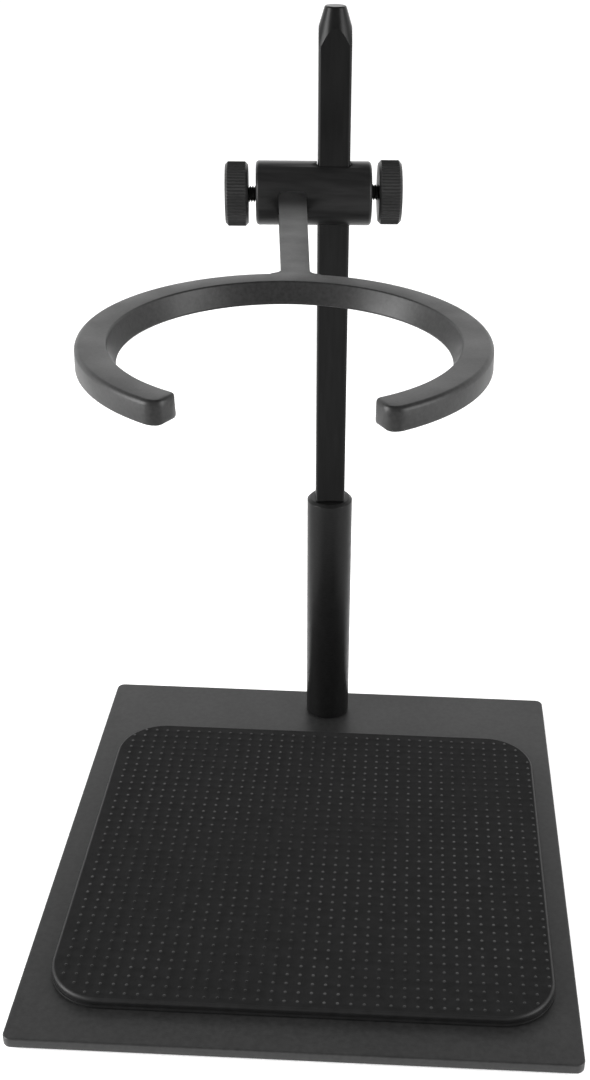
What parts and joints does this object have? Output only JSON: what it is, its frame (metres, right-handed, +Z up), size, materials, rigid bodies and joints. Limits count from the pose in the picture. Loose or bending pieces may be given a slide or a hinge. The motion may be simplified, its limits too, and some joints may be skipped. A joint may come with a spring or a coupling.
{
  "type": "pour-over coffee stand",
  "caption": "Height-adjustable coffee dripper stand: flat plate, dotted drip mat, round post, square bar, and an open ring on a sliding clamp block with knurled knobs.",
  "frame": {"origin": "middle of the stand's footprint, ring included, on the surface it stands on", "axes": "+X to the right, +Y to the back, where the post is, +Z up; the ring is at the front, -Y"},
  "size_m": [0.165, 0.1897, 0.2566],
  "materials": {
    "black_powder_coat": "fine matt black powder coat",
    "black_satin_steel": "satin black coating on steel",
    "black_cast_metal": "fine-grained matt black on a casting",
    "black_thread_steel": "black oxide screws and knurled knobs",
    "zinc_plated_steel": "plain zinc plate on hidden fasteners",
    "black_silicone": "matt silicone rubber with a grid of raised dots",
    "black_rubber": "thin self-adhesive pads"
  },
  "bodies": {
    "stand": {"base_plate": "black_powder_coat", "foot_front_left": "black_rubber", "foot_front_right": "black_rubber", "foot_rear_left": "black_rubber", "foot_rear_right": "black_rubber", "post": "black_satin_steel", "post_screw": "zinc_plated_steel", "bar_stud": "zinc_plated_steel", "square_bar": "black_satin_steel"},
    "mat": {"drip_mat": "black_silicone"},
    "clamp": {"clamp_block": "black_satin_steel"},
    "holder": {"ring_holder": "black_cast_metal"},
    "height_pad": {"height_pad": "zinc_plated_steel"},
    "height_knob": {"height_screw": "black_thread_steel", "height_knob": "black_thread_steel"},
    "arm_pad": {"arm_pad": "zinc_plated_steel"},
    "arm_knob": {"arm_screw": "black_thread_steel", "arm_knob": "black_thread_steel"}
  },
  "joints": [
    {"name": "mat_lift", "type": "slide", "parent": "stand", "child": "mat", "axis": [0, 0, 1], "range_m": [0, 0.06]},
    {"name": "clamp_height", "type": "slide", "parent": "stand", "child": "clamp", "axis": [0, 0, 1], "range_m": [-0.094, 0.031]},
    {"name": "arm_reach", "type": "slide", "parent": "clamp", "child": "holder", "axis": [0.0872, -0.9962, 0], "range_m": [-0.07, 0]},
    {"name": "height_screw_travel", "type": "slide", "parent": "clamp", "child": "height_pad", "axis": [0.9962, 0.0872, 0], "range_m": [0, 0.0016]},
    {"name": "height_knob_turn", "type": "hinge", "parent": "height_pad", "child": "height_knob", "pos_m": [0.01385, 0.08423, 0.2013], "axis": [0.9962, 0.0872, 0], "range_deg": [0, 721]},
    {"name": "arm_screw_travel", "type": "slide", "parent": "clamp", "child": "arm_pad", "axis": [-0.9962, -0.0872, 0], "range_m": [0, 0.0016]},
    {"name": "arm_knob_turn", "type": "hinge", "parent": "arm_pad", "child": "arm_knob", "pos_m": [-0.0269, 0.08066, 0.2005], "axis": [-0.9962, -0.0872, 0], "range_deg": [0, 721]}
  ],
  "couplings": [
    {"joint": "height_knob_turn", "follows": "height_screw_travel", "rad_per_m": 7854},
    {"joint": "arm_knob_turn", "follows": "arm_screw_travel", "rad_per_m": 7854}
  ]
}
